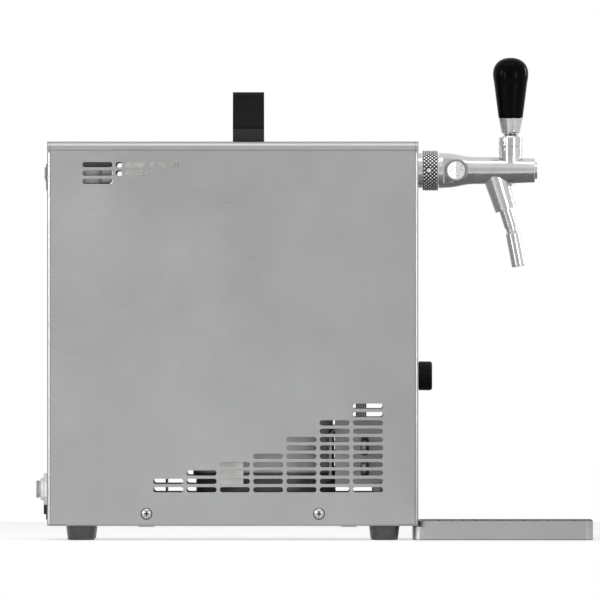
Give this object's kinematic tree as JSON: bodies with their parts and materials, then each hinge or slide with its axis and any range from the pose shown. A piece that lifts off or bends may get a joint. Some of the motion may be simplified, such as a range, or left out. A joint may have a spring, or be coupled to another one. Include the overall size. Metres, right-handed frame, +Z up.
{
  "type": "beer dispenser",
  "caption": "Counter-top flow-through beer cooler: steel cabinet with slotted vents, carry handle, compensator tap with black lever, thermostat dial and sliding drip tray.",
  "frame": {"origin": "on the table under the middle of the whole outline", "axes": "+X towards the tap and drip tray, +Y towards the far side, +Z up"},
  "size_m": [0.4216, 0.1774, 0.366],
  "materials": {
    "stainless_steel": "brushed",
    "polished_steel": "polished",
    "black_phenolic": "gloss",
    "black_nylon": "fine texture",
    "dark_rubber": "matte",
    "zinc_steel": "plated",
    "zinc_sheet": "plated sheet",
    "black_steel": "baked enamel",
    "grey_steel": "baked enamel",
    "pale_plastic": "moulded",
    "aluminium": "cast and rolled",
    "copper": "drawn tube",
    "white_foam": "moulded foam",
    "hose_plastic": "extruded",
    "wire_insulation": "extruded"
  },
  "bodies": {
    "cabinet": {"air_outlet_fitting": "black_nylon", "air_pump": "pale_plastic", "base_pan": "stainless_steel", "beer_inlet_fitting": "black_nylon", "block_insulation": "white_foam", "block_shelf": "zinc_sheet", "bonnet_nut": "polished_steel", "cabinet_screws": "zinc_steel", "carry_handle": "black_nylon", "collar_keeper": "polished_steel", "compensator_ring": "polished_steel", "compressor_bolts": "zinc_steel", "compressor_grommets": "dark_rubber", "compressor_lower_shell": "black_steel", "compressor_plate": "zinc_sheet", "compressor_terminal_cover": "pale_plastic", "compressor_upper_shell": "grey_steel", "condenser_coil": "copper", "condenser_fins": "aluminium", "condenser_shroud": "zinc_sheet", "connector_nuts": "black_nylon", "cooling_block": "aluminium", "coupling_collar": "polished_steel", "fan_frames": "black_nylon", "front_panel": "stainless_steel", "mains_inlet": "black_nylon", "mains_inlet_pins": "zinc_steel", "product_lines": "hose_plastic", "pump_bracket": "black_steel", "rear_panel": "stainless_steel", "refrigerant_lines": "copper", "rubber_feet": "dark_rubber", "shank_nut": "polished_steel", "spout_nozzle": "polished_steel", "spout_sleeve": "polished_steel", "switch_housings": "black_nylon", "tap_body": "polished_steel", "tap_end_cap": "polished_steel", "tap_gasket": "dark_rubber", "tap_shank": "polished_steel", "thermostat_body": "pale_plastic", "wiring_harness": "wire_insulation", "wrapper_cover": "stainless_steel"},
    "tap_lever": {"lever_pin": "polished_steel", "lever_ferrule": "polished_steel", "lever_knob": "black_phenolic"},
    "tap_valve": {"valve_plunger": "polished_steel", "plunger_seals": "dark_rubber"},
    "flow_dial": {"compensator_knob": "polished_steel"},
    "flow_cone": {"compensator_cone": "polished_steel"},
    "thermostat_dial": {"thermostat_knob": "black_nylon"},
    "cooling_switch": {"cooling_rocker": "black_nylon"},
    "pump_switch": {"pump_rocker": "black_nylon"},
    "near_fan": {"fan_rotor_near": "black_nylon"},
    "far_fan": {"fan_rotor_far": "black_nylon"},
    "tray": {"drip_tray": "stainless_steel"},
    "tray_grid": {"drip_grid": "stainless_steel"},
    "beer_collet": {"beer_inlet_collet": "black_nylon"},
    "air_collet": {"air_outlet_collet": "black_nylon"}
  },
  "joints": [
    {"name": "tap_lever_hinge", "type": "hinge", "parent": "cabinet", "child": "tap_lever", "pos_m": [0.1491, 0, 0.3016], "axis": [0, 1, 0], "range_deg": [0, 20]},
    {"name": "tap_valve_slide", "type": "slide", "parent": "cabinet", "child": "tap_valve", "axis": [-1, 0, 0], "range_m": [0, 0.0053]},
    {"name": "flow_dial_turn", "type": "hinge", "parent": "cabinet", "child": "flow_dial", "pos_m": [0.1076, 0, 0.2802], "axis": [0, 1, 0], "range_deg": [-45, 45]},
    {"name": "flow_cone_slide", "type": "slide", "parent": "cabinet", "child": "flow_cone", "axis": [1, 0, 0], "range_m": [-0.00141, 0.00141]},
    {"name": "thermostat_turn", "type": "hinge", "parent": "cabinet", "child": "thermostat_dial", "pos_m": [0.085, 0, 0.1242], "axis": [1, 0, 0], "range_deg": [0, 270]},
    {"name": "cooling_switch_rock", "type": "hinge", "parent": "cabinet", "child": "cooling_switch", "pos_m": [-0.2009, -0.02, 0.275], "axis": [0, 1, 0], "range_deg": [0, 19]},
    {"name": "pump_switch_rock", "type": "hinge", "parent": "cabinet", "child": "pump_switch", "pos_m": [-0.2009, 0.02, 0.275], "axis": [0, 1, 0], "range_deg": [0, 19]},
    {"name": "near_fan_spin", "type": "hinge", "parent": "cabinet", "child": "near_fan", "pos_m": [0.0579, -0.026, 0.0665], "axis": [1, 0, 0], "continuous": true},
    {"name": "far_fan_spin", "type": "hinge", "parent": "cabinet", "child": "far_fan", "pos_m": [0.0579, 0.026, 0.0665], "axis": [1, 0, 0], "continuous": true},
    {"name": "tray_slide", "type": "slide", "parent": "cabinet", "child": "tray", "axis": [1, 0, 0], "range_m": [0, 0.09]},
    {"name": "grid_lift", "type": "slide", "parent": "tray", "child": "tray_grid", "axis": [0, 0, 1], "range_m": [0, 0.04]},
    {"name": "beer_collet_press", "type": "slide", "parent": "cabinet", "child": "beer_collet", "axis": [1, 0, 0], "range_m": [0, 0.0015]},
    {"name": "air_collet_press", "type": "slide", "parent": "cabinet", "child": "air_collet", "axis": [1, 0, 0], "range_m": [0, 0.0015]}
  ],
  "couplings": [
    {"joint": "tap_lever_hinge", "follows": "tap_valve_slide", "rad_per_m": 65.833},
    {"joint": "flow_dial_turn", "follows": "flow_cone_slide", "rad_per_m": 555.56}
  ]
}
